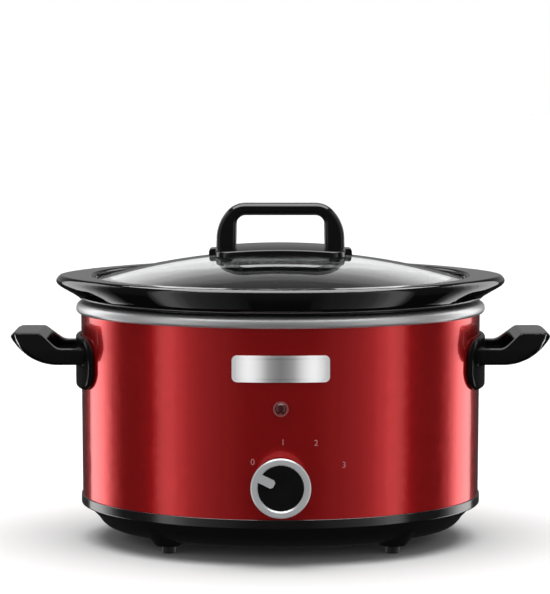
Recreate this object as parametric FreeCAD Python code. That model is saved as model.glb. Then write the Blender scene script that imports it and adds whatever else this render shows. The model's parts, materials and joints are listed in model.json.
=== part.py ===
"""Oval slow cooker, 3.5 litres: a heated base with a lift-out stoneware crock and a glass lid.

Millimetres. +Z is up, +X is the cooker's long axis, and the control knob faces -Y. The origin is on the
surface that the feet stand on, under the middle of the oval. Each sub-part is written to parts/NODE.step.

Most parts are ovals: at each height the outline is an ellipse with half-axes (a, b). oval_solid() turns a
profile of (a, b, z) corners, each with an optional fillet, into exact surfaces.
"""

import FreeCAD
import Part

import math
import os

V = FreeCAD.Vector
X_AXIS, Y_AXIS, Z_AXIS = V(1, 0, 0), V(0, 1, 0), V(0, 0, 1)

# ---- driving dimensions -------------------------------------------------------------------------------
WALL_A, WALL_B = 142.5, 112.0  # outer wall, half-axes at its top
WALL_DRAFT = 0.5  # the wall is this much slimmer at its foot
WALL_T = 0.8
WALL_FOOT_Z, WALL_TOP_Z = 29.0, 166.0
BASE_TOP_Z = 33.0  # where the red wall goes into the black base
RING_BOTTOM_Z, RING_TOP_Z = 163.0, 170.8  # rolled bead of the heating liner
RING_OUT = 3.4  # how far the bead stands out of the wall
LINER_T = 1.0
LINER_FLOOR_Z = 51.8  # top of the liner's floor
CROCK_FOOT_Z, CROCK_TOP_Z = 53.0, 189.7
CROCK_WALL = 8.5
RIM_A, RIM_B = 149.0, 121.5  # crock's rim, without its ears
EAR = 11.0  # how far an ear stands out of the rim
LEDGE_Z = 183.5  # the step in the rim that carries the lid
LEDGE_A, LEDGE_B = 134.5, 108.5
LID_A, LID_B = 131.0, 105.5
LID_APEX_Z = 205.6
LID_T = 4.0
GRIP_TOP_Z = 240.5
GRIP_BAR_H = 8.2
FOOT_X, FOOT_Y = 78.0, 60.0
FOOT_R = 5.1
SHELL_T = 2.5
SHELL_FLOOR_Z = 7.5  # underside of the base shell
FOOT_BOSS_Z = 5.8  # underside of the bosses that hold the feet
KNOB_Z = 57.1
KNOB_R = 20.5
KNOB_FRONT_Y = -127.0
KNOB_OFF_DEG = 154.0  # where the pointer points at OFF, anticlockwise from +X seen from the front
LAMP_Z = 108.8
BADGE_Z, BADGE_W, BADGE_H = 135.8, 66.2, 18.2
CORD_Z, CORD_BORE_R = 20.0, 3.6
CLEAR = 0.2  # general gap between neighbours


# ---- helpers ------------------------------------------------------------------------------------------
CIRCLE_KNOTS, CIRCLE_MULTS = [0.0, 0.25, 0.5, 0.75, 1.0], [3, 2, 2, 2, 3]
HALF = math.sqrt(0.5)
UNIT_CIRCLE = [(1, 0, 1), (1, 1, HALF), (0, 1, 1), (-1, 1, HALF), (-1, 0, 1),
               (-1, -1, HALF), (0, -1, 1), (1, -1, HALF), (1, 0, 1)]


def oval_face(corners, weights):
    """The exact face swept by a line (2 points) or an arc (3 points) of (a, b, z) round the oval."""
    poles = [[V(a * x, b * y, z) for a, b, z in corners] for x, y, _ in UNIT_CIRCLE]
    pole_weights = [[w * wp for wp in weights] for _, _, w in UNIT_CIRCLE]
    ends = len(corners)
    surface = Part.BSplineSurface()
    surface.buildFromPolesMultsKnots(poles, CIRCLE_MULTS, [ends, ends], CIRCLE_KNOTS, [0, 1],
                                     False, False, 2, ends - 1, pole_weights)
    return surface.toShape()


def along(p, q, distance):
    """The point of (a, b, z) that is distance from p towards q, measured in the a-z plane."""
    share = distance / math.hypot(q[0] - p[0], q[2] - p[2])
    return tuple(u + (v - u) * share for u, v in zip(p, q))


def fillet_reach(before, corner, after, radius):
    """How far from a corner its fillet starts, and the cosine of half its turn."""
    one = (before[0] - corner[0], before[2] - corner[2])
    two = (after[0] - corner[0], after[2] - corner[2])
    cosine = (one[0] * two[0] + one[1] * two[1]) / (math.hypot(*one) * math.hypot(*two))
    turn = math.pi - math.acos(max(-1.0, min(1.0, cosine)))
    return radius * math.tan(turn / 2), math.cos(turn / 2)


def oval_solid(profile, closed=False):
    """A solid from corners (a, b, z, fillet radius). An open profile ends in flat oval faces, a closed
    one makes a ring."""
    points = [tuple(c[:3]) for c in profile]
    radii = [c[3] if len(c) > 3 else 0.0 for c in profile]
    count = len(points)
    inner = range(count) if closed else range(1, count - 1)
    reach = {}
    for i in inner:
        reach[i] = fillet_reach(points[i - 1], points[i], points[(i + 1) % count], radii[i])
    faces = []
    for i in range(count if closed else count - 1):
        j = (i + 1) % count
        start = along(points[i], points[j], reach[i][0]) if i in reach else points[i]
        end = along(points[j], points[i], reach[j][0]) if j in reach else points[j]
        if math.dist(start, end) > 1e-6:
            faces.append(oval_face([start, end], [1, 1]))
        if j in reach and radii[j] > 0:
            leave = along(points[j], points[(j + 1) % count], reach[j][0])
            faces.append(oval_face([end, points[j], leave], [1, reach[j][1], 1]))
    if not closed:
        for a, b, z in (points[0], points[-1]):
            faces.append(Part.Face(Part.Wire([Part.Ellipse(V(0, 0, z), a, b).toShape()])))
    shell = Part.makeShell(faces)
    shell.sewShape()
    solid = Part.makeSolid(shell if shell.ShapeType == "Shell" else shell.Shells[0])
    if solid.Volume < 0:
        solid.reverse()
    return solid


def oval_prism(a, b, z0, z1):
    """An upright oval block, whose seam is at its -X end."""
    ellipse = Part.Ellipse(V(-a, 0, z0), V(0, b, z0), V(0, 0, z0))
    return Part.Face(Part.Wire([ellipse.toShape()])).extrude(V(0, 0, z1 - z0))


def oval_ring(outer, inner, z0, z1):
    """An upright band between two ovals, each (a, b)."""
    return oval_prism(*outer, z0, z1).cut(oval_prism(*inner, z0 - 1, z1 + 1))


def box(x0, x1, y0, y1, z0, z1):
    return Part.makeBox(x1 - x0, y1 - y0, z1 - z0, V(x0, y0, z0))


def rod(radius, start, end):
    """A cylinder between two points."""
    start, end = V(*start), V(*end)
    axis = end - start
    return Part.makeCylinder(radius, axis.Length, start, axis)


def tube(outer_r, inner_r, start, end):
    return rod(outer_r, start, end).cut(rod(inner_r, start, end))


def rounded_box(x0, x1, y0, y1, z0, z1, radius, axis):
    """A box whose four edges along the given axis are rounded."""
    shape = box(x0, x1, y0, y1, z0, z1)
    edges = [e for e in shape.Edges if abs(abs(e.tangentAt(e.FirstParameter).dot(axis)) - 1) < 1e-6]
    return shape.makeFillet(radius, edges)


def round_edges(shape, radius, chosen):
    """Fillets the edges that chosen(edge) picks, and gives the shape back as it was if that can't be done."""
    edges = [e for e in shape.Edges if chosen(e)]
    try:
        filleted = shape.makeFillet(radius, edges)
        if filleted.isValid() and filleted.Volume > 0:
            return filleted
    except Part.OCCError:
        pass
    print("  fillet left out:", radius, len(edges), "edges")
    return shape


def outline_face(steps):
    """A flat face from points (x, z): ("to", x, z) draws a line, ("arc", xm, zm, x, z) an arc."""
    here = V(steps[0][1], 0, steps[0][2])
    first, edges = here, []
    for step in steps[1:]:
        end = V(step[-2], 0, step[-1])
        if step[0] == "arc":
            edges.append(Part.Arc(here, V(step[1], 0, step[2]), end).toShape())
        else:
            edges.append(Part.LineSegment(here, end).toShape())
        here = end
    if (here - first).Length > 1e-6:
        edges.append(Part.LineSegment(here, first).toShape())
    return Part.Face(Part.Wire(edges))


def rounded_face(corners, upright=True):
    """A flat face from corners (u, v, fillet radius), drawn in the x-z plane or in the x-y plane."""
    points = [V(u, 0, v) if upright else V(u, v, 0) for u, v, _ in corners]
    count = len(points)
    leaves, edges = [], []
    for i, (_, _, radius) in enumerate(corners):
        one, two = points[i - 1] - points[i], points[(i + 1) % count] - points[i]
        one.normalize()
        two.normalize()
        half_turn = (math.pi - one.getAngle(two)) / 2
        arrive = points[i] + one * (radius * math.tan(half_turn))
        leave = points[i] + two * (radius * math.tan(half_turn))
        if radius > 0:
            bisector = one + two
            bisector.normalize()
            peak = points[i] + bisector * (radius / math.cos(half_turn) - radius)
            edges.append(Part.Arc(arrive, peak, leave).toShape())
        leaves.append((arrive, leave))
    for i, (_, leave) in enumerate(leaves):
        arrive = leaves[(i + 1) % count][0]
        if (arrive - leave).Length > 1e-5:
            edges.append(Part.LineSegment(leave, arrive).toShape())
    return Part.Face(Part.Wire(Part.__sortEdges__(edges)))


def hexagon_nut(across_flats, bore_r, start, end):
    """A hexagonal nut along a line."""
    start, end = V(*start), V(*end)
    axis = end - start
    points = [V(math.cos(math.radians(60 * i)), math.sin(math.radians(60 * i)), 0) for i in range(7)]
    radius = across_flats / math.sqrt(3)
    face = Part.Face(Part.makePolygon([p * radius for p in points]))
    nut = face.extrude(V(0, 0, axis.Length))
    nut.Placement = FreeCAD.Placement(start, FreeCAD.Rotation(Z_AXIS, axis))
    return nut.cut(rod(bore_r, tuple(start), tuple(end)))


def bent_wire(radius, route):
    """A round wire along straight runs joined by tangent arcs."""
    points = [V(*p) for p in route]
    edges, here = [], points[0]
    for before, corner, after in zip(points, points[1:], points[2:]):
        one, two = (before - corner), (after - corner)
        run = min(one.Length, two.Length)
        one.normalize()
        two.normalize()
        turn = math.pi - one.getAngle(two)
        bend = min(0.45 * run / math.tan(turn / 2), 12.0)
        reach = bend * math.tan(turn / 2)
        start, end = corner + one * reach, corner + two * reach
        middle = one + two
        middle.normalize()
        peak = corner + middle * (bend / math.cos(turn / 2) - bend)
        if (start - here).Length > 1e-4:
            edges.append(Part.LineSegment(here, start).toShape())
        edges.append(Part.Arc(start, peak, end).toShape())
        here = end
    edges.append(Part.LineSegment(here, points[-1]).toShape())
    path = Part.Wire(edges)
    ring = Part.Wire([Part.Circle(points[0], points[1] - points[0], radius).toShape()])
    solid = path.makePipeShell([ring], True, True)
    expected = path.Length * math.pi * radius**2
    if abs(solid.Volume / expected - 1) > 0.02:
        print("  wire volume off:", solid.Volume, expected)
    return solid


def mirrored(shape):
    return shape.mirror(V(0, 0, 0), X_AXIS)


def one_solid(shape):
    """A boolean result as a plain solid."""
    return shape.Solids[0] if len(shape.Solids) == 1 else shape


def wall_y(x, offset=0.0):
    """The front of the wall's outer face at x, with an offset outwards."""
    a, b = WALL_A + offset, WALL_B + offset
    return -b * math.sqrt(1 - (x / a) ** 2)


# ---- heated base --------------------------------------------------------------------------------------
SWITCH_BUSH_R = 4.6
LAMP_R = 4.4
BADGE_PIN_X = 22.0
HANDLE_SCREW_Y, HANDLE_SCREW_Z = 31.0, 134.0
WASHER_R = 4.6
SEAM_W, SEAM_T = 12.0, 0.6


def make_outer_wall():
    """Painted steel band with a lap seam at the back and holes for the switch, lamp, badge and handles."""
    low_a, low_b = WALL_A - WALL_DRAFT, WALL_B - WALL_DRAFT
    wall = oval_solid([(low_a, low_b, WALL_FOOT_Z), (WALL_A, WALL_B, WALL_TOP_Z),
                       (WALL_A - WALL_T, WALL_B - WALL_T, WALL_TOP_Z),
                       (low_a - WALL_T, low_b - WALL_T, WALL_FOOT_Z)], closed=True)
    lap = oval_ring((WALL_A + SEAM_T, WALL_B + SEAM_T), (WALL_A - 0.6, WALL_B - 0.6), BASE_TOP_Z + 2, 161.5)
    lap = lap.common(box(-SEAM_W / 2, SEAM_W / 2, 100, 120, 0, 200))
    wall = wall.fuse(lap)
    front = -WALL_B - 10
    cuts = [rod(SWITCH_BUSH_R + CLEAR, (0, front, KNOB_Z), (0, -90, KNOB_Z)),
            rod(LAMP_R + CLEAR, (0, front, LAMP_Z), (0, -90, LAMP_Z))]
    for side in (-1, 1):
        pin_x = side * BADGE_PIN_X
        cuts.append(rod(1.7, (pin_x, front, BADGE_Z), (pin_x, -90, BADGE_Z)))
        for end in (-1, 1):
            y = end * HANDLE_SCREW_Y
            cuts.append(rod(2.4, (side * 125, y, HANDLE_SCREW_Z), (side * 150, y, HANDLE_SCREW_Z)))
    return one_solid(wall.cut(Part.makeCompound(cuts)))


LINER_TOP_A, LINER_FOOT_A = 131.0, 118.0  # inside half-lengths
LINER_GAP = 30.0  # half-length less half-width
LINER_CORNER_R = 16.0


def liner_outside_a(z):
    """Half-length of the liner's outer face at a height on its side wall."""
    slope = (LINER_TOP_A - LINER_FOOT_A) / (RING_TOP_Z - LINER_FLOOR_Z)
    return LINER_FOOT_A + LINER_T + slope * (z - LINER_FLOOR_Z)


def make_heater_liner():
    """Drawn aluminium pot. Its flange hooks over the outer wall in a rolled bead."""
    t, gap = LINER_T, LINER_GAP
    foot, top = LINER_FOOT_A, LINER_TOP_A
    bead_a, bead_b = WALL_A + RING_OUT, WALL_B + RING_OUT
    profile = [
        (foot - 25, foot - 25 - gap, LINER_FLOOR_Z - t),
        (foot + t, foot + t - gap, LINER_FLOOR_Z - t, LINER_CORNER_R + t),
        (top + t, top + t - gap, RING_TOP_Z - t, 1.5),
        (bead_a - t, bead_b - t, RING_TOP_Z - t, 3.0),
        (bead_a - t, bead_b - t, RING_BOTTOM_Z + t, 1.4),
        (bead_a - 3.0, bead_b - 3.0, RING_BOTTOM_Z + t),
        (bead_a - 3.0, bead_b - 3.0, RING_BOTTOM_Z),
        (bead_a, bead_b, RING_BOTTOM_Z, 2.8),
        (bead_a, bead_b, RING_TOP_Z, 4.0),
        (top, top - gap, RING_TOP_Z, 2.5),
        (foot, foot - gap, LINER_FLOOR_Z, LINER_CORNER_R),
        (foot - 25, foot - 25 - gap, LINER_FLOOR_Z),
    ]
    liner = oval_solid(profile)
    dimples = [rod(6, (x, y, LINER_FLOOR_Z - 0.5), (x, y, LINER_FLOOR_Z + 0.8))
               for x in (-55, 55) for y in (-35, 35)]
    return one_solid(liner.fuse(dimples))


BELT_Z0, BELT_Z1, BELT_T = 76.0, 126.0, 2.5
STRAP_T, STRAP_H = 0.6, 9.0
STRAP_ZS = (82.0, 111.0)
BELT_SPLIT = 7.0  # half the gap at the back


def belt_ring(z0, z1, gap_in, thickness):
    """A band that follows the liner's sloping side, gap_in away from it."""
    low, high = liner_outside_a(z0) + gap_in, liner_outside_a(z1) + gap_in
    g, t = LINER_GAP, thickness
    return oval_solid([(low + t, low + t - g, z0), (high + t, high + t - g, z1),
                       (high, high - g, z1), (low, low - g, z0)], closed=True)


def split_at_back(ring):
    return one_solid(ring.cut(box(-BELT_SPLIT, BELT_SPLIT, 60, 120, 0, 200)))


def make_heating_belt():
    """Flexible heater belt round the liner, open at the back."""
    return split_at_back(belt_ring(BELT_Z0, BELT_Z1, 0.4, BELT_T))


def strap_lug_y(z):
    return liner_outside_a(z) - LINER_GAP + 0.5 + BELT_T


def make_belt_straps():
    """Two steel straps that pull the belt tight, each with a pair of lugs at the back."""
    straps = []
    for z in STRAP_ZS:
        band = split_at_back(belt_ring(z, z + STRAP_H, 0.5 + BELT_T, STRAP_T))
        y = strap_lug_y(z + STRAP_H) + 0.05
        for side in (-1, 1):
            inside, outside = BELT_SPLIT - 1.2, BELT_SPLIT + 0.4
            x0, x1 = sorted((side * inside, side * outside))
            lug = box(x0, x1, y, y + 8.5, z + 0.2, z + STRAP_H - 0.2)
            band = band.fuse(lug)
        mid = z + STRAP_H / 2
        hole = rod(1.7, (-20, y + 5.0, mid), (20, y + 5.0, mid))
        straps.append(one_solid(band.cut(hole)))
    return Part.makeCompound(straps)


def make_strap_screws():
    """A screw with its nut through each strap's lugs."""
    solids = []
    for z in STRAP_ZS:
        y, mid = strap_lug_y(z + STRAP_H) + 5.05, z + STRAP_H / 2
        shank = rod(1.5, (-10.5, y, mid), (11, y, mid))
        head = rod(2.8, (-10.5, y, mid), (-8.2, y, mid))
        solids.append(one_solid(shank.fuse(head)))
        solids.append(hexagon_nut(5.5, 1.5, (8.0, y, mid), (10.2, y, mid)))
    return Part.makeCompound(solids)


FUSE_X, FUSE_Y, FUSE_Z = -40.0, 20.0, 47.0


def make_thermal_fuse():
    """Thermal cut-off in its sleeve, lying against the underside of the liner."""
    body = rod(2.2, (FUSE_X - 7, FUSE_Y, FUSE_Z), (FUSE_X + 7, FUSE_Y, FUSE_Z))
    leads = rod(0.6, (FUSE_X - 13, FUSE_Y, FUSE_Z), (FUSE_X + 13, FUSE_Y, FUSE_Z))
    return one_solid(body.fuse(leads))


def make_fuse_clip():
    """Spring clip spot-welded to the liner that holds the fuse."""
    top = LINER_FLOOR_Z - LINER_T
    hoop = tube(3.1, 2.3, (FUSE_X - 4, FUSE_Y, FUSE_Z), (FUSE_X + 4, FUSE_Y, FUSE_Z))
    foot = box(FUSE_X - 4, FUSE_X + 4, FUSE_Y + 2.4, FUSE_Y + 9, top - 0.8, top)
    web = box(FUSE_X - 4, FUSE_X + 4, FUSE_Y + 2.35, FUSE_Y + 3.1, FUSE_Z, top)
    return one_solid(hoop.fuse([foot, web]))


BAND_OUT = 0.5  # the base's top band stands this far out of the wall
LIP_T = 0.8


def shell_profile(inset):
    """Corners of the base shell's bowl, moved inwards by inset."""
    return [(84 - inset, 62 - inset, SHELL_FLOOR_Z + inset),
            (126 - inset, 90 - inset, SHELL_FLOOR_Z + 1.6 + inset, 14),
            (131 - inset, 101 - inset, 17.3 + inset * 0.6, 3)]


BOSS_R, BOSS_END_Y = 8.8, 113.6
VENT_XS = (-30, -20, -10, 10, 20, 30)


def make_base_shell():
    """Moulded base: a bowl with a band that grips the wall's foot, foot bosses, vents and a cord boss."""
    band_a, band_b = WALL_A + BAND_OUT, WALL_B + BAND_OUT
    lip_a, lip_b = band_a - LIP_T, band_b - LIP_T
    step_z = 26.0
    ledge_z = WALL_FOOT_Z - 0.1
    outside = shell_profile(0) + [
        (139.4, 108.8, step_z, 0.8),
        (band_a, band_b, step_z + 0.3, 0.9),
        (band_a, band_b, BASE_TOP_Z, 0.5),
        (lip_a, lip_b, BASE_TOP_Z, 0.2),
        (lip_a, lip_b, ledge_z),
        (136.2, 105.9, ledge_z, 0.5),
    ]
    shell = oval_solid(outside + shell_profile(SHELL_T)[::-1])
    bosses = []
    for x in (-FOOT_X, FOOT_X):
        for y in (-FOOT_Y, FOOT_Y):
            bosses.append(Part.makeCone(9.5, 19.5, 12.8, V(x, y, FOOT_BOSS_Z)))
    bosses.append(rod(BOSS_R, (0, 84, CORD_Z), (0, BOSS_END_Y, CORD_Z)))
    bosses.append(rod(11, (0, 0, SHELL_FLOOR_Z), (0, 0, 17)))
    for x in (-8.5, 8.5):
        bosses.append(rod(3.6, (x, 74, SHELL_FLOOR_Z + 1), (x, 74, CORD_Z + 3.8)))
    shell = shell.fuse(bosses)
    cuts = [rod(6.3, (0, 83.9, CORD_Z), (0, BOSS_END_Y + 1, CORD_Z)),
            rod(8.0, (0, 0, SHELL_FLOOR_Z - 1), (0, 0, 13.5)),
            rod(3.3, (0, 0, 0), (0, 0, 30))]
    for x in (-FOOT_X, FOOT_X):
        for y in (-FOOT_Y, FOOT_Y):
            cuts.append(rod(3.2, (x, y, 0), (x, y, 30)))
            cuts.append(rod(FOOT_R + 0.15, (x, y, 0), (x, y, SHELL_FLOOR_Z + 1.2)))
    for x in (-8.5, 8.5):
        cuts.append(rod(1.3, (x, 74, 14), (x, 74, CORD_Z + 5)))
    for x in VENT_XS:
        for y in (-34, 34):
            cuts.append(rounded_box(x - 1.6, x + 1.6, y - 13, y + 13, 0, 20, 1.5, Z_AXIS))
    return one_solid(shell.cut(Part.makeCompound(cuts)))


def make_foot(x, y):
    """Push-in rubber foot with a barbed stem."""
    top = SHELL_FLOOR_Z + 1.1
    pad = rod(FOOT_R, (x, y, 0), (x, y, top))
    pad = round_edges(pad, 0.8, lambda e: e.BoundBox.ZMax < 0.01)
    stem = rod(3.1, (x, y, top - 0.5), (x, y, 19.0))
    barb = Part.makeCone(4.2, 2.4, 3.0, V(x, y, 18.9))
    return one_solid(pad.fuse([stem, barb]))


def make_centre_stud():
    """Stud welded under the liner, which pulls the base up against the wall."""
    top = LINER_FLOOR_Z - LINER_T
    plate = rod(9, (0, 0, top - 1.5), (0, 0, top))
    shank = rod(3.0, (0, 0, 9.0), (0, 0, top - 1.0))
    return one_solid(plate.fuse(shank))


def make_centre_washer():
    return tube(7.5, 3.1, (0, 0, 12.4), (0, 0, 13.5))


def make_centre_nut():
    return hexagon_nut(10, 3.0, (0, 0, 8.4), (0, 0, 12.4))


# ---- side handles -------------------------------------------------------------------------------------
PLATE_T = 3.9
PLATE_HALF_W, PLATE_Z0, PLATE_Z1 = 47.0, 110.6, 147.7
ARM_Y = 36.5  # outside of the arms
ARM_Z0, ARM_Z1 = 128.6, 139.4
GRIP_FLAT_Z = 150.3
TIP_X = 192.5
HOLE_X, HOLE_Y = 165.5, 25.5  # finger hole


def handle_bow():
    """The loop of a side handle: where its side outline, plan outline and end outline overlap."""
    side = rounded_face([
        (125, ARM_Z0, 0), (168, ARM_Z0, 36), (184.5, 139.8, 24), (TIP_X, 147.0, 2.0),
        (TIP_X - 4.0, GRIP_FLAT_Z, 2.5), (170.5, GRIP_FLAT_Z, 2.5), (157.5, ARM_Z1, 8), (125, ARM_Z1, 0)])
    block = side.extrude(V(0, 2 * ARM_Y + 4, 0))
    block.translate(V(0, -ARM_Y - 2, 0))
    end = Part.Face(Part.makePolygon([V(120, y, z) for y, z in (
        (-ARM_Y, 100), (-ARM_Y, 138.6), (-26, GRIP_FLAT_Z + 1), (26, GRIP_FLAT_Z + 1),
        (ARM_Y, 138.6), (ARM_Y, 100), (-ARM_Y, 100))]))
    plan = rounded_face([
        (120, -ARM_Y - 1, 0), (179.5, -ARM_Y - 1, 14), (TIP_X + 0.6, -19, 30),
        (TIP_X + 0.6, 19, 30), (179.5, ARM_Y + 1, 14), (120, ARM_Y + 1, 0)], upright=False)
    plan.translate(V(0, 0, 90))
    block = block.common(end.extrude(V(90, 0, 0))).common(plan.extrude(V(0, 0, 80)))
    return block.cut(rounded_box(120, HOLE_X, -HOLE_Y, HOLE_Y, 90, 170, 6.0, Z_AXIS))


def make_handle():
    """Right-hand side handle: a plate shaped to the wall, with a bow that turns up at its end."""
    gap = CLEAR
    plate = oval_ring((WALL_A + PLATE_T, WALL_B + PLATE_T), (WALL_A + gap, WALL_B + gap), PLATE_Z0, PLATE_Z1)
    window = rounded_box(100, 160, -PLATE_HALF_W, PLATE_HALF_W, PLATE_Z0, PLATE_Z1, 15.0, X_AXIS)
    plate = one_solid(plate.common(window))
    plate = round_edges(plate, 1.6, lambda e: on_oval(e, WALL_A + PLATE_T, WALL_B + PLATE_T))
    bow = handle_bow().cut(oval_prism(WALL_A + gap + 1, WALL_B + gap + 1, 90, 170))
    handle = one_solid(plate.fuse(bow))
    for y in (-HANDLE_SCREW_Y, HANDLE_SCREW_Y):
        handle = handle.cut(rod(1.6, (120, y, HANDLE_SCREW_Z), (155.5, y, HANDLE_SCREW_Z)))
    return one_solid(handle)


def on_oval(edge, a, b):
    """True if both ends of an edge lie on the upright oval (a, b)."""
    return all(abs((v.X / a) ** 2 + (v.Y / b) ** 2 - 1) < 1e-4 for v in edge.Vertexes)


def washer_seat_x():
    """As near to the wall's inner face as a flat washer at a handle screw can lie."""
    a, b = WALL_A - WALL_T - WALL_DRAFT, WALL_B - WALL_T - WALL_DRAFT
    return a * math.sqrt(1 - ((HANDLE_SCREW_Y + WASHER_R) / b) ** 2)


def make_handle_screws():
    """Four screws from inside the wall into the handles' arms."""
    solids = []
    head_x = washer_seat_x() - 1.2
    for y in (-HANDLE_SCREW_Y, HANDLE_SCREW_Y):
        shank = rod(1.6, (head_x, y, HANDLE_SCREW_Z), (153, y, HANDLE_SCREW_Z))
        head = rod(3.6, (head_x - 2.2, y, HANDLE_SCREW_Z), (head_x, y, HANDLE_SCREW_Z))
        screw = one_solid(shank.fuse(head))
        solids += [screw, mirrored(screw)]
    return Part.makeCompound(solids)


def make_handle_washers():
    solids = []
    face_x = washer_seat_x()
    for y in (-HANDLE_SCREW_Y, HANDLE_SCREW_Y):
        washer = tube(WASHER_R, 1.7, (face_x - 1.2, y, HANDLE_SCREW_Z), (face_x, y, HANDLE_SCREW_Z))
        solids += [washer, mirrored(washer)]
    return Part.makeCompound(solids)


# ---- front of the base --------------------------------------------------------------------------------
def badge_window(inset):
    """Block through the wall with the badge's outline, moved inwards by inset."""
    half_w, half_h = BADGE_W / 2 - inset, BADGE_H / 2 - inset
    return rounded_box(-half_w, half_w, -125, -95, BADGE_Z - half_h, BADGE_Z + half_h, 3.6 - inset, Y_AXIS)


def make_badge_plate():
    """Blank bright plate that follows the wall, with a fine groove inside its border and two studs."""
    gap = 0.1
    plate = oval_ring((WALL_A + 1.4, WALL_B + 1.4), (WALL_A + gap, WALL_B + gap),
                      BADGE_Z - BADGE_H / 2, BADGE_Z + BADGE_H / 2)
    plate = one_solid(plate.common(badge_window(0)))
    plate = round_edges(plate, 0.5, lambda e: on_oval(e, WALL_A + 1.4, WALL_B + 1.4))
    groove = badge_window(1.9).cut(badge_window(2.5))
    low, high = BADGE_Z - BADGE_H, BADGE_Z + BADGE_H
    skin = oval_ring((WALL_A + 2, WALL_B + 2), (WALL_A + 1.1, WALL_B + 1.1), low, high)
    plate = plate.cut(skin.common(groove))
    studs = [rod(1.4, (x, wall_y(x, 0.6), BADGE_Z), (x, wall_y(x, -5), BADGE_Z))
             for x in (-BADGE_PIN_X, BADGE_PIN_X)]
    return one_solid(plate.fuse(studs))


def make_badge_clips():
    """Push-on clips on the badge's studs."""
    solids = []
    for x in (-BADGE_PIN_X, BADGE_PIN_X):
        y = wall_y(x, -WALL_T) + 1.6
        solids.append(tube(4.0, 1.45, (x, y, BADGE_Z), (x, y + 0.6, BADGE_Z)))
    return Part.makeCompound(solids)


def make_lamp_bezel():
    """Ring round the lamp's lens."""
    front = wall_y(0) - 1.3
    return tube(5.3, 3.9, (0, front, LAMP_Z), (0, wall_y(0) - 0.1, LAMP_Z))


def make_lamp_lens():
    """Domed lens with a sleeve through the wall."""
    front = wall_y(0)
    sleeve = tube(3.8, 2.9, (0, front - 1.3, LAMP_Z), (0, front + 4.0, LAMP_Z))
    dome_r, rise = 5.6, 1.5
    ball = Part.makeSphere(dome_r, V(0, front - 1.3 - rise + dome_r, LAMP_Z))
    dome = ball.common(rod(3.8, (0, front - 4, LAMP_Z), (0, front - 0.6, LAMP_Z)))
    return one_solid(dome.fuse(sleeve))


def make_lamp_clip():
    """Ring pushed on behind the wall to hold the lamp."""
    back = wall_y(0) + WALL_T + 0.5
    return tube(6.2, 3.9, (0, back, LAMP_Z), (0, back + 1.2, LAMP_Z))


def make_neon_lamp():
    front = wall_y(0) - 0.4
    return rod(2.8, (0, front, LAMP_Z), (0, front + 9.0, LAMP_Z))


# ---- rotary switch and knob ---------------------------------------------------------------------------
SWITCH_FRONT_Y = -WALL_B + 2.0  # behind the wall
SWITCH_DEPTH = 12.5
SWITCH_HALF = 13.5
CAM_R = 8.5
SHAFT_R = 3.0
SHAFT_TIP_Y = -122.0


def switch_block(y0, y1):
    half = SWITCH_HALF
    return rounded_box(-half, half, y0, y1, KNOB_Z - half, KNOB_Z + half, 2.5, Y_AXIS)


def make_switch_body():
    """Moulded switch housing with its bush through the wall."""
    y0, y1 = SWITCH_FRONT_Y, SWITCH_FRONT_Y + SWITCH_DEPTH
    block = switch_block(y0, y1)
    bush = rod(SWITCH_BUSH_R, (0, -WALL_B - 4.0, KNOB_Z), (0, y0 + 1, KNOB_Z))
    room = rod(CAM_R + 2.2, (0, y0 + 2.5, KNOB_Z), (0, y1 + 1, KNOB_Z))
    bore = rod(SHAFT_R + 0.06, (0, -WALL_B - 6, KNOB_Z), (0, y0 + 4, KNOB_Z))
    return one_solid(block.fuse(bush).cut(Part.makeCompound([room, bore])))


def make_switch_cover():
    y1 = SWITCH_FRONT_Y + SWITCH_DEPTH
    return switch_block(y1, y1 + 1.6)


def make_switch_terminals():
    """Four spade terminals along the foot of the switch."""
    y = SWITCH_FRONT_Y + 7.0
    z = KNOB_Z - SWITCH_HALF
    return Part.makeCompound([box(x - 2.4, x + 2.4, y, y + 0.8, z - 8.0, z) for x in (-9.6, -3.2, 3.2, 9.6)])


def make_contact_leaves():
    """Leaf contacts that stand round the cam inside the switch."""
    y0 = SWITCH_FRONT_Y + 4.5
    leaf = box(-3.2, 3.2, y0, y0 + 5.0, KNOB_Z + CAM_R + 1.0, KNOB_Z + CAM_R + 1.35)
    leaves = []
    for angle in (0, 120, 240):
        turned = leaf.copy()
        turned.rotate(V(0, 0, KNOB_Z), Y_AXIS, angle)
        leaves.append(turned)
    return Part.makeCompound(leaves)


def make_switch_nut():
    """Nut on the bush, hidden behind the knob."""
    return hexagon_nut(13, SWITCH_BUSH_R, (0, -WALL_B - 2.5, KNOB_Z), (0, -WALL_B - 0.15, KNOB_Z))


def turned_to_off(shape):
    """Turns a shape drawn with its pointer along +X to where the pointer is at OFF."""
    shape.rotate(V(0, 0, KNOB_Z), Y_AXIS, -KNOB_OFF_DEG)
    return shape


def shaft_flat(x_cut, y0, y1):
    return box(x_cut, 10, y0, y1, KNOB_Z - 10, KNOB_Z + 10)


def make_switch_shaft():
    """Spindle with a flat for the knob."""
    rear = SWITCH_FRONT_Y + SWITCH_DEPTH - 0.5
    shaft = rod(SHAFT_R, (0, SHAFT_TIP_Y, KNOB_Z), (0, rear, KNOB_Z))
    shaft = shaft.cut(shaft_flat(1.6, SHAFT_TIP_Y, -WALL_B - 4.5))
    return turned_to_off(one_solid(shaft))


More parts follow.
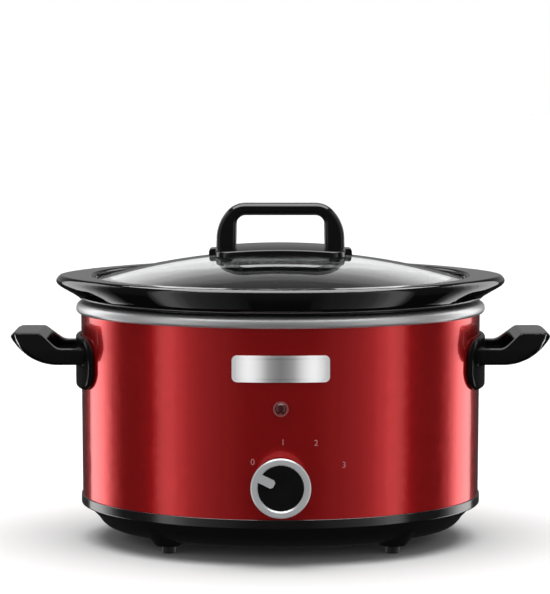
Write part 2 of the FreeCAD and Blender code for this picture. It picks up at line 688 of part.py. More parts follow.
def make_switch_cam():
    """Cam with four flats, one for each position, on the spindle inside the switch."""
    y0 = SWITCH_FRONT_Y + 3.5
    cam = rod(CAM_R, (0, y0, KNOB_Z), (0, y0 + 7.5, KNOB_Z))
    for angle in (0, 45, 90, 135):
        flat = box(CAM_R - 1.0, CAM_R + 5, y0, y0 + 7.5, KNOB_Z - 10, KNOB_Z + 10)
        flat.rotate(V(0, 0, KNOB_Z), Y_AXIS, angle)
        cam = cam.cut(flat)
    return turned_to_off(one_solid(cam.cut(rod(SHAFT_R, (0, -130, KNOB_Z), (0, -80, KNOB_Z)))))


RING_R = 15.6  # inside of the knob's bright ring
KNOB_BACK_Y, KNOB_BACK_R = -113.6, 18.4
POINTER_W, POINTER_TIP_R, POINTER_CUT = 6.0, 5.0, 1.4
INSERT_RECESS = 1.4


def pointer_bar(width, y0, y1):
    """Bar from near the middle out to the ring, with its two inner corners cut off."""
    half, start = width / 2, POINTER_TIP_R - (width - POINTER_W) / 2
    corners = [(start, half - POINTER_CUT), (start + POINTER_CUT, half), (RING_R + 1.0, half)]
    corners += [(x, -z) for x, z in reversed(corners)]
    outline = Part.makePolygon([V(x, y0, KNOB_Z + z) for x, z in corners + corners[:1]])
    return Part.Face(outline).extrude(V(0, y1 - y0, 0))


def make_knob_ring():
    """Bright ring with the pointer bar in one piece."""
    y0, y1 = KNOB_FRONT_Y, KNOB_BACK_Y
    ring = Part.makeCone(KNOB_R, KNOB_BACK_R, y1 - y0, V(0, y0, KNOB_Z), Y_AXIS)
    ring = ring.makeChamfer(1.1, [e for e in ring.Edges if e.BoundBox.YMax < y0 + 0.01])
    ring = ring.cut(rod(RING_R, (0, y0 - 1, KNOB_Z), (0, y1 + 1, KNOB_Z)))
    ring = ring.cut(Part.makeCone(RING_R + 1.1, RING_R - 0.1, 1.2, V(0, y0 - 0.1, KNOB_Z), Y_AXIS))
    ring = ring.fuse(pointer_bar(POINTER_W, y0 + 0.1, y0 + 3.2))
    return turned_to_off(one_solid(ring))


def make_knob_insert():
    """Black face of the knob, with a slot that the pointer bar lies in."""
    y0 = KNOB_FRONT_Y + INSERT_RECESS
    disc = rod(RING_R - 0.1, (0, y0, KNOB_Z), (0, y0 + 3.0, KNOB_Z))
    disc = round_edges(disc, 0.5, lambda e: e.BoundBox.YMax < y0 + 0.01)
    return turned_to_off(one_solid(disc.cut(pointer_bar(POINTER_W + 0.2, y0 - 2, KNOB_FRONT_Y + 3.3))))


def make_knob_body():
    """Moulded body of the knob, with the hub that grips the spindle."""
    y0, y1 = KNOB_FRONT_Y + INSERT_RECESS + 3.0, KNOB_BACK_Y - 0.4
    plate = rod(RING_R - 0.1, (0, y0, KNOB_Z), (0, y0 + 2.0, KNOB_Z))
    skirt = tube(RING_R - 0.1, RING_R - 2.0, (0, y0, KNOB_Z), (0, y1, KNOB_Z))
    hub = rod(6.0, (0, y0, KNOB_Z), (0, -WALL_B - 4.6, KNOB_Z))
    bore = rod(SHAFT_R + 0.02, (0, SHAFT_TIP_Y - 0.1, KNOB_Z), (0, -100, KNOB_Z))
    bore = bore.cut(shaft_flat(1.62, SHAFT_TIP_Y - 0.1, -100))
    return turned_to_off(one_solid(plate.fuse([skirt, hub]).cut(bore)))


# ---- mains connection and wiring ----------------------------------------------------------------------
BLOCK_Y = 58.0
BLOCK_Z0, BLOCK_Z1 = 11.0, 25.0
GLAND_END_Y = 125.5
WIRE_R = 1.1


def make_cord_gland():
    """Push-in bush that the mains lead goes through."""
    y = BOSS_END_Y
    flange = rod(9.2, (0, y + 0.1, CORD_Z), (0, y + 2.5, CORD_Z))
    flange = round_edges(flange, 0.8, lambda e: e.BoundBox.YMin > y + 2.4)
    sleeve = rod(6.2, (0, 82.5, CORD_Z), (0, y + 1, CORD_Z))
    barb = Part.makeCone(6.2, 6.9, 1.4, V(0, 82.4, CORD_Z), Y_AXIS)
    snout = Part.makeCone(7.0, 5.6, GLAND_END_Y - y - 2.3, V(0, y + 2.3, CORD_Z), Y_AXIS)
    body = sleeve.fuse([flange, snout, barb])
    return one_solid(body.cut(rod(CORD_BORE_R, (0, 70, CORD_Z), (0, 130, CORD_Z))))


def make_cord_clamp():
    """Saddle that would hold the lead's sheath down on its two posts."""
    z = CORD_Z + 3.8
    bar = rounded_box(-12.5, 12.5, 70.0, 78.0, z, z + 3.2, 2.0, Z_AXIS)
    holes = [rod(1.7, (x, 74, z - 1), (x, 74, z + 5)) for x in (-8.5, 8.5)]
    return one_solid(bar.cut(Part.makeCompound(holes)))


def make_cord_clamp_screws():
    z = CORD_Z + 7.0
    screws = []
    for x in (-8.5, 8.5):
        head = rod(2.6, (x, 74, z), (x, 74, z + 1.8))
        screws.append(one_solid(rod(1.25, (x, 74, 15), (x, 74, z)).fuse(head)))
    return Part.makeCompound(screws)


BLOCK_XS = (-9.0, 0.0, 9.0)


def make_terminal_block():
    """Three-way terminal block on the floor of the base."""
    block = rounded_box(-14, 14, BLOCK_Y - 7.5, BLOCK_Y + 7.5, BLOCK_Z0, BLOCK_Z1, 1.0, Z_AXIS)
    cuts = []
    for x in BLOCK_XS:
        cuts.append(rod(1.6, (x, BLOCK_Y - 8, 17), (x, BLOCK_Y + 8, 17)))
        cuts.append(rod(1.9, (x, BLOCK_Y, 17), (x, BLOCK_Y, 26)))
    return one_solid(block.cut(Part.makeCompound(cuts)))


def make_terminal_screws():
    return Part.makeCompound([rod(1.8, (x, BLOCK_Y, 18.7), (x, BLOCK_Y, 23.4)) for x in BLOCK_XS])


def make_wires():
    """Insulated leads inside the base, by name."""
    block_front = BLOCK_Y - 7.6
    spade_y, spade_z = SWITCH_FRONT_Y + 7.4, KNOB_Z - SWITCH_HALF - 9.2
    belt_y, belt_z = strap_lug_y(BELT_Z0) - 1.0, BELT_Z0 - 1.0
    return {
        "wire_live": bent_wire(WIRE_R, [
            (-9, block_front, 17), (-9, 42, 17), (-22, 30, 24), (-24, 22, 38), (-26.0, FUSE_Y, 45.5)]),
        "wire_fuse": bent_wire(WIRE_R, [
            (-54.0, FUSE_Y, 45.5), (-60, 14, 38), (-48, -18, 22), (-18, -60, 20),
            (-9.6, spade_y + 8, 24), (-9.6, spade_y, spade_z)]),
        "wire_neutral": bent_wire(WIRE_R, [
            (9, block_front, 17), (9, 43, 17), (22, 44, 22), (38, 66, 32), (30, 88, 48), (12, 97, 62),
            (9.2, belt_y, belt_z)]),
        "wire_low": bent_wire(WIRE_R, [
            (-3.2, spade_y, spade_z), (-3.2, spade_y + 8, 22), (10, -50, 18), (44, -10, 20), (70, 36, 26),
            (60, 76, 38), (32, 99, 56), (14.2, belt_y + 0.5, belt_z)]),
        "wire_high": bent_wire(WIRE_R, [
            (3.2, spade_y, spade_z), (3.2, spade_y + 6, 27), (-20, -66, 27), (-58, -38, 26), (-78, 10, 30),
            (-66, 62, 38), (-34, 94, 56), (-10.2, belt_y, belt_z)]),
        "wire_lamp": bent_wire(WIRE_R * 0.8, [
            (9.6, spade_y, spade_z + 0.4), (13, spade_y + 2, 29), (22, -96, 38), (23, -101, 62),
            (14, -104, 92), (3.5, -102.0, LAMP_Z - 1.2), (0.2, -102.2, LAMP_Z)]),
    }


# ---- crock --------------------------------------------------------------------------------------------
CROCK_GAP = 30.0
CROCK_TOP_A, CROCK_FOOT_A = 128.0, 115.0
EAR_SPREAD = 0.42  # share of the oval's half-width over which an ear fades
RIM_POINTS = 64


def rim_wire(a, b, ear, z):
    """Outline of the rim at a height: an oval whose ends are drawn out into ears."""
    points = []
    for i in range(RIM_POINTS):
        t = 2 * math.pi * (i + 0.5) / RIM_POINTS
        stretch = a + ear * math.exp(-((math.sin(t) / EAR_SPREAD) ** 2))
        points.append(V(stretch * math.cos(t), b * math.sin(t), z))
    curve = Part.BSplineCurve()
    curve.interpolate(Points=points, PeriodicFlag=True)
    return Part.Wire([curve.toShape()])


def make_crock():
    """Glazed stoneware pot: a thick rim with two ears, and a ledge inside the rim for the lid."""
    gap, wall = CROCK_GAP, CROCK_WALL
    foot, top = CROCK_FOOT_A, CROCK_TOP_A
    body = oval_solid([(foot - 30, foot - 30 - gap, CROCK_FOOT_Z), (foot, foot - gap, CROCK_FOOT_Z, 18),
                       (top, top - gap, 172.0, 3), (139.0, 110.5, 173.4, 1.0), (139.0, 110.5, 178)])
    top_z = CROCK_TOP_Z
    sections = [
        (137.0, 110.5, 0, 172.4), (140.6, 114.6, 0, 172.8), (143.8, 118.4, 0, 174.2),
        (145.6, 120.3, 0.1, 175.8), (147.0, 120.9, 2.6, 178.0), (148.2, 121.2, 7.2, 180.8),
        (RIM_A, RIM_B, EAR, 184.6), (RIM_A - 0.1, RIM_B - 0.1, EAR - 0.2, 187.0),
        (RIM_A - 1.2, RIM_B - 1.2, EAR - 0.7, 188.9), (RIM_A - 3.4, RIM_B - 3.2, EAR - 1.4, top_z)]
    rim = Part.makeLoft([rim_wire(*s) for s in sections], True, False)
    slope = (top - foot) / (172.0 - CROCK_FOOT_Z)
    floor_z = CROCK_FOOT_Z + 10
    low = foot - wall + slope * 10
    high = foot - wall + slope * (LEDGE_Z - CROCK_FOOT_Z)
    cavity = oval_solid([(low - 40, low - 40 - gap, floor_z), (low, low - gap, floor_z, 26),
                         (high, high - gap, LEDGE_Z, 2.5), (LEDGE_A, LEDGE_B, LEDGE_Z, 1.2),
                         (LEDGE_A, LEDGE_B, top_z + 0.02, 1.6), (LEDGE_A + 4, LEDGE_B + 4, top_z + 0.03),
                         (LEDGE_A + 4, LEDGE_B + 4, top_z + 8)])
    foot_recess = oval_prism(foot - 34, foot - 34 - gap, CROCK_FOOT_Z - 1, CROCK_FOOT_Z + 1.2)
    return one_solid(body.fuse(rim).cut(cavity).cut(foot_recess))


# ---- lid ----------------------------------------------------------------------------------------------
LID_EDGE_Z = LEDGE_Z + 0.3
LID_ARC_END = (LID_A - 2.0, LID_EDGE_Z + 3.4)
LEG_X0, LEG_X1 = 31.7, 45.9
LEG_HALF_Y = 9.5
LID_SCREW_X = 38.8
PLATE_GAP = 0.8  # gasket thickness
PLATE_RISE, PLATE_LIFT = 2.2, 6.0  # underside and top of the plate above the glass
PLATE_HALF_X, PLATE_HALF_Y = 46.0, 34.0


def dome_z(x, y, lift=0.0):
    """Height of the lid's top face above a point."""
    run, rise = LID_ARC_END[0], LID_APEX_Z - LID_ARC_END[1]
    radius = (run**2 + rise**2) / (2 * rise)
    r = math.hypot(x, y * LID_A / LID_B)
    return LID_APEX_Z - radius + math.sqrt(radius**2 - r**2) + lift


def dome_solid(face_steps):
    """Turns a section in the x-z plane into an oval dome."""
    solid = outline_face(face_steps).revolve(V(0, 0, 0), Z_AXIS, 360)
    matrix = FreeCAD.Matrix()
    matrix.scale(1.0, LID_B / LID_A, 1.0)
    return one_solid(solid.transformGeometry(matrix))


def dome_cap(lift_low, lift_high, reach):
    """A slice of the dome between two heights above the glass, out to x = reach."""
    mid = reach / 2
    return dome_solid([
        ("to", 0, dome_z(0, 0, lift_low)),
        ("arc", mid, dome_z(mid, 0, lift_low), reach, dome_z(reach, 0, lift_low)),
        ("to", reach, dome_z(reach, 0, lift_high)),
        ("arc", mid, dome_z(mid, 0, lift_high), 0, dome_z(0, 0, lift_high))])


def on_dome(edge, lift):
    """True if both ends of an edge lie at that height above the glass."""
    return all(abs(v.Z - dome_z(v.X, v.Y, lift)) < 0.05 for v in edge.Vertexes)


def make_lid_glass():
    """Domed oval glass with a ground edge and two screw holes."""
    end_x, end_z = LID_ARC_END
    mid = end_x / 2
    in_x = LID_A - 9.5
    glass = dome_solid([
        ("to", 0, LID_APEX_Z), ("arc", mid, dome_z(mid, 0), end_x, end_z),
        ("arc", LID_A, LID_EDGE_Z + 1.7, end_x - 0.6, LID_EDGE_Z), ("to", in_x, LID_EDGE_Z),
        ("arc", mid, dome_z(mid, 0, -LID_T), 0, LID_APEX_Z - LID_T)])
    for x in (-LID_SCREW_X, LID_SCREW_X):
        glass = glass.cut(rod(2.6, (x, 0, 190), (x, 0, 215)))
    return one_solid(glass)


def make_lid_handle_base():
    """Curved plate under the grip, on two pads, with a lug at each end."""
    plate = dome_cap(PLATE_RISE, PLATE_LIFT, 60)
    window = rounded_box(-PLATE_HALF_X, PLATE_HALF_X, -PLATE_HALF_Y, PLATE_HALF_Y, 190, 230, 12.0, Z_AXIS)
    plate = one_solid(plate.common(window))
    plate = round_edges(plate, 1.4, lambda e: on_dome(e, PLATE_LIFT))
    lugs = []
    for side in (-1, 1):
        x0, x1 = sorted((side * LEG_X0, side * (LEG_X1 - 0.4)))
        pad = rounded_box(x0, x1, -15.0, 15.0, 190, 220, 3.0, Z_AXIS)
        lugs.append(pad.common(dome_cap(PLATE_GAP, PLATE_RISE + 0.5, 60)))
        x0, x1 = sorted((side * 44.0, side * 50.9))
        lug = rounded_box(x0, x1, -8.5, 8.5, 197, 208.4, 2.4, Y_AXIS)
        lugs.append(lug.common(dome_cap(PLATE_GAP, 12, 60)))
    plate = one_solid(plate.fuse(lugs))
    for x in (-LID_SCREW_X, LID_SCREW_X):
        plate = plate.cut(rod(2.3, (x, 0, 190), (x, 0, 225)))
    return one_solid(plate)


def make_lid_handle_grip():
    """Arched grip whose two legs stand on the plate."""
    foot_z = 200.0
    inner_z = GRIP_TOP_Z - GRIP_BAR_H
    shoulder_x, shoulder_z = LEG_X1 - 0.7, GRIP_TOP_Z - 14.5
    arch = rounded_face([
        (-LEG_X1, foot_z, 0), (-shoulder_x, shoulder_z, 27), (-shoulder_x + 12.2, GRIP_TOP_Z, 17),
        (shoulder_x - 12.2, GRIP_TOP_Z, 17), (shoulder_x, shoulder_z, 27), (LEG_X1, foot_z, 0),
        (LEG_X0, foot_z, 0), (LEG_X0 - 0.6, inner_z, 6.5), (-LEG_X0 + 0.6, inner_z, 6.5),
        (-LEG_X0, foot_z, 0)])
    grip = arch.extrude(V(0, 2 * LEG_HALF_Y, 0))
    grip.translate(V(0, -LEG_HALF_Y, 0))
    grip = round_edges(grip, 3.2, lambda e: abs(abs(e.BoundBox.YMin) - LEG_HALF_Y) < 0.01
                       and abs(e.BoundBox.YMin - e.BoundBox.YMax) < 0.01 and e.BoundBox.ZMax > foot_z + 0.01)
    grip = grip.cut(dome_cap(-20, PLATE_LIFT, 60))
    for x in (-LID_SCREW_X, LID_SCREW_X):
        grip = grip.cut(rod(1.7, (x, 0, 200), (x, 0, 226)))
    return one_solid(grip)


def make_lid_gaskets():
    """Silicone washers between the glass and the plate."""
    solids = []
    for x in (-LID_SCREW_X, LID_SCREW_X):
        ring = tube(7.0, 2.6, (x, 0, 195), (x, 0, 215)).common(dome_cap(0.05, PLATE_GAP - 0.05, 60))
        solids.append(one_solid(ring))
    return Part.makeCompound(solids)


def screw_seat_z():
    """Just under the glass at a lid screw."""
    return dome_z(LID_SCREW_X + 6.5, 6.5, -LID_T) - 0.1


def make_lid_washers():
    z = screw_seat_z()
    xs = (-LID_SCREW_X, LID_SCREW_X)
    return Part.makeCompound([tube(6.0, 2.0, (x, 0, z - 1.0), (x, 0, z)) for x in xs])


def make_lid_screws():
    """Two screws up through the glass into the grip's legs."""
    z = screw_seat_z() - 1.0
    screws = []
    for x in (-LID_SCREW_X, LID_SCREW_X):
        head = round_edges(rod(4.0, (x, 0, z - 2.4), (x, 0, z)), 1.0, lambda e: e.BoundBox.ZMax < z - 2.3)
        head = head.cut(box(x - 0.5, x + 0.5, -3.2, 3.2, z - 3, z - 1.4))
        screws.append(one_solid(head.fuse(rod(1.7, (x, 0, z - 0.5), (x, 0, 224)))))
    return Part.makeCompound(screws)


# ---- write everything ---------------------------------------------------------------------------------
def build_all():
    handle = make_handle()
    nodes = {
        "outer_wall": make_outer_wall(),
        "heater_liner": make_heater_liner(),
        "heating_belt": make_heating_belt(),
        "belt_straps": make_belt_straps(),
        "strap_screws": make_strap_screws(),
        "thermal_fuse": make_thermal_fuse(),
        "fuse_clip": make_fuse_clip(),
        "base_shell": make_base_shell(),
        "foot_front_left": make_foot(-FOOT_X, -FOOT_Y),
        "foot_front_right": make_foot(FOOT_X, -FOOT_Y),
        "foot_rear_left": make_foot(-FOOT_X, FOOT_Y),
        "foot_rear_right": make_foot(FOOT_X, FOOT_Y),
        "centre_stud": make_centre_stud(),
        "centre_washer": make_centre_washer(),
        "centre_nut": make_centre_nut(),
        "handle_right": handle,
        "handle_left": mirrored(handle),
        "handle_screws": make_handle_screws(),
        "handle_washers": make_handle_washers(),
        "badge_plate": make_badge_plate(),
        "badge_clips": make_badge_clips(),
        "lamp_bezel": make_lamp_bezel(),
        "lamp_lens": make_lamp_lens(),
        "lamp_clip": make_lamp_clip(),
        "neon_lamp": make_neon_lamp(),
        "switch_body": make_switch_body(),
        "switch_cover": make_switch_cover(),
        "switch_terminals": make_switch_terminals(),
        "contact_leaves": make_contact_leaves(),
        "switch_nut": make_switch_nut(),
        "switch_shaft": make_switch_shaft(),
        "switch_cam": make_switch_cam(),
        "knob_ring": make_knob_ring(),
        "knob_insert": make_knob_insert(),
        "knob_body": make_knob_body(),
        "cord_gland": make_cord_gland(),
        "cord_clamp": make_cord_clamp(),
        "cord_clamp_screws": make_cord_clamp_screws(),
        "terminal_block": make_terminal_block(),
        "terminal_screws": make_terminal_screws(),
        "crock": make_crock(),
        "lid_glass": make_lid_glass(),
        "lid_handle_base": make_lid_handle_base(),
        "lid_handle_grip": make_lid_handle_grip(),
        "lid_gaskets": make_lid_gaskets(),
        "lid_washers": make_lid_washers(),
        "lid_screws": make_lid_screws(),
    }
    nodes.update(make_wires())
    return nodes


def main():
    os.makedirs("parts", exist_ok=True)
    for name, shape in build_all().items():
        volume = sum(s.Volume for s in shape.Solids)
        print(f"{name:20s} solids {len(shape.Solids)} valid {shape.isValid()} volume {volume / 1000:.2f} cm3")
        shape.exportStep(f"parts/{name}.step")


if __name__ == "__main__":
    main()
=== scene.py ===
import json
import math

import bpy
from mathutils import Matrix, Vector


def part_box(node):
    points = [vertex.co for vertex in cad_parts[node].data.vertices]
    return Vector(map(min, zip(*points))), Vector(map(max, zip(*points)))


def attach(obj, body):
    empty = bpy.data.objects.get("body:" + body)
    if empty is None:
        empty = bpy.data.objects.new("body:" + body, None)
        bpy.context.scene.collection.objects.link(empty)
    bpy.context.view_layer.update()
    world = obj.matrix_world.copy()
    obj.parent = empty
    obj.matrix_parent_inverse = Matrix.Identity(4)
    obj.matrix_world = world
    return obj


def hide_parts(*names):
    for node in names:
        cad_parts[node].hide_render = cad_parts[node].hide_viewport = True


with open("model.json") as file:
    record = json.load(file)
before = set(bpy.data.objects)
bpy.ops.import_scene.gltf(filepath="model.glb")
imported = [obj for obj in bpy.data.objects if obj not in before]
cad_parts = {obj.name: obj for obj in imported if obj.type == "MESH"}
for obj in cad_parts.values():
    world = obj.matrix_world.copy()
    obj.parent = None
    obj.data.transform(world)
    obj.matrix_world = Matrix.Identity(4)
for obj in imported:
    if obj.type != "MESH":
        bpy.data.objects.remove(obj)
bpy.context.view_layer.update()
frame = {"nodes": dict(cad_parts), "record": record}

# A studio picture of an oval slow cooker. Metres; the cooker faces -Y.

# ---- camera and stage ---------------------------------------------------------------------------------
AIM = Vector((-0.0039, 0.0, 0.1732))
CAMERA_DISTANCE, CAMERA_HEIGHT = 1.72, 0.3464
SENSOR, LENS = 36.0, 146.4  # millimetres, on the picture's long side


def make_camera():
    data = bpy.data.cameras.new("camera")
    data.sensor_width = SENSOR
    data.lens = LENS
    data.clip_end = 50
    camera = bpy.data.objects.new("camera", data)
    camera.location = (AIM.x, -CAMERA_DISTANCE, CAMERA_HEIGHT)
    camera.rotation_euler = (AIM - camera.location).to_track_quat("-Z", "Y").to_euler()
    bpy.context.scene.collection.objects.link(camera)
    bpy.context.scene.camera = camera


# ---- node helpers -------------------------------------------------------------------------------------
class Shader:
    """A material with a Principled surface and short ways to add texture nodes to it."""

    def __init__(self, name, **sockets):
        self.material = bpy.data.materials.new(name)
        self.material.use_nodes = True
        self.tree = self.material.node_tree
        self.surface = self.tree.nodes["Principled BSDF"]
        self.place = self.add("ShaderNodeTexCoord").outputs["Object"]
        for socket, value in sockets.items():
            self.surface.inputs[socket.replace("_", " ")].default_value = value

    def add(self, kind, **settings):
        node = self.tree.nodes.new(kind)
        for key, value in settings.items():
            if key in node.inputs:
                node.inputs[key].default_value = value
            else:
                setattr(node, key, value)
        return node

    def link(self, source, target):
        self.tree.links.new(source, target)

    def stretched(self, scale):
        """The object's own coordinates, stretched along each axis."""
        mapping = self.add("ShaderNodeMapping", Scale=scale)
        self.link(self.place, mapping.inputs["Vector"])
        return mapping.outputs["Vector"]

    def noise(self, scale, detail=3.0, roughness=0.5, where=None):
        node = self.add("ShaderNodeTexNoise", Scale=scale, Detail=detail, Roughness=roughness)
        self.link(where or self.place, node.inputs["Vector"])
        return node.outputs["Fac"]

    def ranged(self, value, low, high, start=0.0, end=1.0):
        node = self.add("ShaderNodeMapRange")
        self.link(value, node.inputs["Value"])
        for socket, number in zip(("From Min", "From Max", "To Min", "To Max"), (start, end, low, high)):
            node.inputs[socket].default_value = number
        return node.outputs["Result"]

    def blended(self, factor, first, second):
        node = self.add("ShaderNodeMix", data_type="RGBA")
        self.link(factor, node.inputs["Factor"])
        for socket, colour in ((6, first), (7, second)):
            if isinstance(colour, tuple):
                node.inputs[socket].default_value = (*colour, 1.0)
            else:
                self.link(colour, node.inputs[socket])
        return node.outputs[2]

    def colour(self, value):
        self.link(value, self.surface.inputs["Base Color"])

    def rough(self, value, low, high, start=0.3, end=0.7):
        self.link(self.ranged(value, low, high, start, end), self.surface.inputs["Roughness"])

    def bump(self, value, distance, strength):
        node = self.add("ShaderNodeBump", Strength=strength, Distance=distance)
        self.link(value, node.inputs["Height"])
        self.link(node.outputs["Normal"], self.surface.inputs["Normal"])


def rgba(red, green, blue):
    return (red, green, blue, 1.0)


# ---- materials ----------------------------------------------------------------------------------------
FAINT_GRAIN, FINE_GRAIN = 0.00001, 0.00002  # metres, the depth of a surface's relief
BLACK, SOFT_BLACK = (0.0022, 0.0022, 0.0024), (0.0045, 0.0045, 0.005)


def red_enamel():
    """Metallic red stove enamel under a clear coat."""
    s = Shader("red_enamel", Metallic=0.83, Coat_Weight=1.0, Coat_Roughness=0.02, Coat_IOR=1.5)
    cloud = s.blended(s.noise(24.0, 2.0), (0.72, 0.012, 0.014), (0.78, 0.014, 0.016))
    sparkle = s.ranged(s.noise(2400.0, 2.0), 0.0, 1.0, 0.35, 0.65)
    s.colour(s.blended(sparkle, cloud, (0.78, 0.014, 0.017)))
    s.rough(s.noise(120.0), 0.21, 0.25)
    s.bump(s.noise(2400.0, 2.0), FAINT_GRAIN, 0.10)
    return s.material


def liner_aluminium():
    """Spun aluminium with a satin finish: fine lines that run round the pot."""
    s = Shader("liner_aluminium", Metallic=0.87)
    lines = s.noise(1.0, 4.0, 0.6, where=s.stretched((14.0, 14.0, 2600.0)))
    s.colour(s.blended(lines, (0.76, 0.76, 0.77), (0.88, 0.88, 0.89)))
    s.rough(lines, 0.34, 0.44)
    s.bump(lines, FINE_GRAIN, 0.25)
    return s.material


def black_glaze():
    """Black glaze, with a bare buff foot where the pot stood in the kiln."""
    s = Shader("black_glaze", Coat_Weight=0.8, Coat_Roughness=0.03, IOR=1.55)
    height = s.add("ShaderNodeSeparateXYZ")
    s.link(s.place, height.inputs["Vector"])
    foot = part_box("crock")[0].z
    glaze_line, glaze_fade, line_wobble = 0.0020, 0.0006, 0.002
    wobble = s.add("ShaderNodeMath", operation="MULTIPLY_ADD")
    s.link(s.noise(90.0), wobble.inputs[0])
    wobble.inputs[1].default_value = line_wobble
    s.link(height.outputs["Z"], wobble.inputs[2])
    bare = s.ranged(wobble.outputs[0], 1.0, 0.0, foot + glaze_line,
                    foot + glaze_line + glaze_fade)
    speckle = s.noise(900.0, 4.0, 0.7)
    clay = s.blended(speckle, (0.42, 0.33, 0.24), (0.60, 0.50, 0.38))
    glaze = s.blended(s.noise(45.0), (0.0012, 0.0012, 0.0014), (0.003, 0.003, 0.003))
    s.colour(s.blended(bare, glaze, clay))
    s.link(s.ranged(bare, 0.045, 0.8), s.surface.inputs["Roughness"])
    s.bump(s.noise(30.0, 2.0), 0.0004, 0.22)
    return s.material


def lid_glass():
    """Toughened glass with a faint green tint."""
    s = Shader("lid_glass", Roughness=0.0, IOR=1.52, Transmission_Weight=1.0)
    s.colour(s.blended(s.noise(12.0, 1.0), (0.80, 0.82, 0.81), (0.86, 0.88, 0.87)))
    s.bump(s.noise(9.0, 1.0), 0.0002, 0.004)
    return s.material


def moulded(name, dark, light, low, high, grain=1500.0, depth=FINE_GRAIN, strength=0.3, **sockets):
    """A non-metal with a fine grain: plastic, rubber, fibre, or the neon lamp's glass."""
    s = Shader(name, **sockets)
    grains = s.noise(grain, 3.0, 0.6)
    s.colour(s.blended(s.noise(60.0), dark, light))
    s.rough(s.noise(140.0, 3.0), low, high)
    s.bump(grains, depth, strength)
    return s.material


def small_metal(name, dark, light, low, high):
    """Plated or rolled metal of the small parts inside, faintly mottled."""
    s = Shader(name, Metallic=1.0)
    mottle = s.noise(1.0, 4.0, 0.65, where=s.stretched((300.0, 300.0, 300.0)))
    s.colour(s.blended(mottle, dark, light))
    s.rough(mottle, low, high)
    s.bump(mottle, FINE_GRAIN, 0.3)
    return s.material


def spun_silver():
    """Satin ring turned on a lathe: lines round the knob's own axis."""
    s = Shader("knob_silver", Metallic=0.5)
    low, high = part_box("knob_ring")
    centre = (low + high) / 2
    shift = s.add("ShaderNodeMapping", Location=(-centre.x, -centre.y, -centre.z))
    s.link(s.place, shift.inputs["Vector"])
    flat = s.add("ShaderNodeVectorMath", operation="MULTIPLY")
    s.link(shift.outputs["Vector"], flat.inputs[0])
    flat.inputs[1].default_value = (1.0, 0.0, 1.0)
    radius = s.add("ShaderNodeVectorMath", operation="LENGTH")
    s.link(flat.outputs["Vector"], radius.inputs[0])
    lines = s.add("ShaderNodeTexNoise", noise_dimensions="1D", Scale=5200.0, Detail=2.0)
    s.link(radius.outputs["Value"], lines.inputs["W"])
    s.colour(s.blended(lines.outputs["Fac"], (0.50, 0.51, 0.52), (0.66, 0.67, 0.68)))
    s.rough(lines.outputs["Fac"], 0.28, 0.40)
    s.bump(lines.outputs["Fac"], FINE_GRAIN, 0.35)
    return s.material


def badge_silver():
    """Satin foil plate with a painted sheen: its base colour is dull in the middle and bright towards
    both ends, standing in for the light that a satin finish reflects.
    """
    s = Shader("badge_silver", Metallic=0.1)
    low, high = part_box("badge_plate")
    across = s.add("ShaderNodeSeparateXYZ")
    s.link(s.place, across.inputs["Vector"])
    off_centre = s.add("ShaderNodeMath", operation="ABSOLUTE")
    s.link(across.outputs["X"], off_centre.inputs[0])
    # Painted sheen: a ramp over the distance from the plate's middle makes the base colour dull there and
    # bright towards both ends, standing in for reflected light.
    painted_sheen = s.add("ShaderNodeValToRGB")
    painted_sheen.color_ramp.interpolation = "B_SPLINE"
    stops = ((0.0, 0.19), (0.25, 0.30), (0.42, 0.72), (0.60, 1.0), (0.76, 1.0), (0.97, 0.52))
    for i, (place, grey) in enumerate(stops):
        stop = painted_sheen.color_ramp.elements[i] if i < 2 else painted_sheen.color_ramp.elements.new(place)
        stop.position = place
        stop.color = rgba(grey, grey, grey)
    s.link(s.ranged(off_centre.outputs[0], 0.0, 1.0, 0.0, high.x), painted_sheen.inputs["Fac"])
    lines = s.noise(1.0, 4.0, 0.65, where=s.stretched((40.0, 40.0, 3000.0)))
    # The painted sheen multiplied by the real brushed lines.
    brushed_painted_sheen = s.add("ShaderNodeMix", data_type="RGBA", blend_type="MULTIPLY", Factor=1.0)
    s.link(painted_sheen.outputs["Color"], brushed_painted_sheen.inputs[6])
    s.link(s.blended(lines, (0.95, 0.95, 0.96), (1.0, 1.0, 1.0)), brushed_painted_sheen.inputs[7])
    s.colour(brushed_painted_sheen.outputs[2])
    s.rough(lines, 0.30, 0.38)
    s.bump(lines, FAINT_GRAIN, 0.25)
    return s.material


def handle_plastic():
    """Polished black plastic, with a matt grain on the plate that lies against the wall. The plate is
    told apart by how far out it lies from the middle of the cooker."""
    plate_start, plate_end, fade_in, fade_out = -0.040, 0.0046, 0.010, 0.0004
    s = Shader("handle_plastic", Coat_Weight=0.5, Coat_Roughness=0.06)
    across = s.add("ShaderNodeSeparateXYZ")
    s.link(s.place, across.inputs["Vector"])
    reach = s.add("ShaderNodeMath", operation="ABSOLUTE")
    s.link(across.outputs["X"], reach.inputs[0])
    wall_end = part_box("outer_wall")[1].x
    start, end = wall_end + plate_start, wall_end + plate_end
    inside = s.ranged(reach.outputs[0], 1.0, 0.0, end, end + fade_out)
    outside = s.ranged(reach.outputs[0], 0.0, 1.0, start, start + fade_in)
    both = s.add("ShaderNodeMath", operation="MULTIPLY")
    s.link(inside, both.inputs[0])
    s.link(outside, both.inputs[1])
    matt = both.outputs[0]
    s.colour(s.blended(s.noise(60.0), BLACK, SOFT_BLACK))
    s.link(s.ranged(matt, 0.12, 0.28), s.surface.inputs["Roughness"])
    s.link(s.ranged(matt, 0.5, 0.0), s.surface.inputs["Coat Weight"])
    s.bump(s.noise(1500.0, 3.0, 0.6), FINE_GRAIN, 0.08)
    return s.material


def lens_red(name, dark, light, **sockets):
    """Tinted plastic of the indicator lamp: its lens, and the ring round it."""
    s = Shader(name, IOR=1.49, Coat_Weight=0.5, **sockets)
    s.colour(s.blended(s.noise(400.0), dark, light))
    s.rough(s.noise(300.0), 0.12, 0.22)
    return s.material


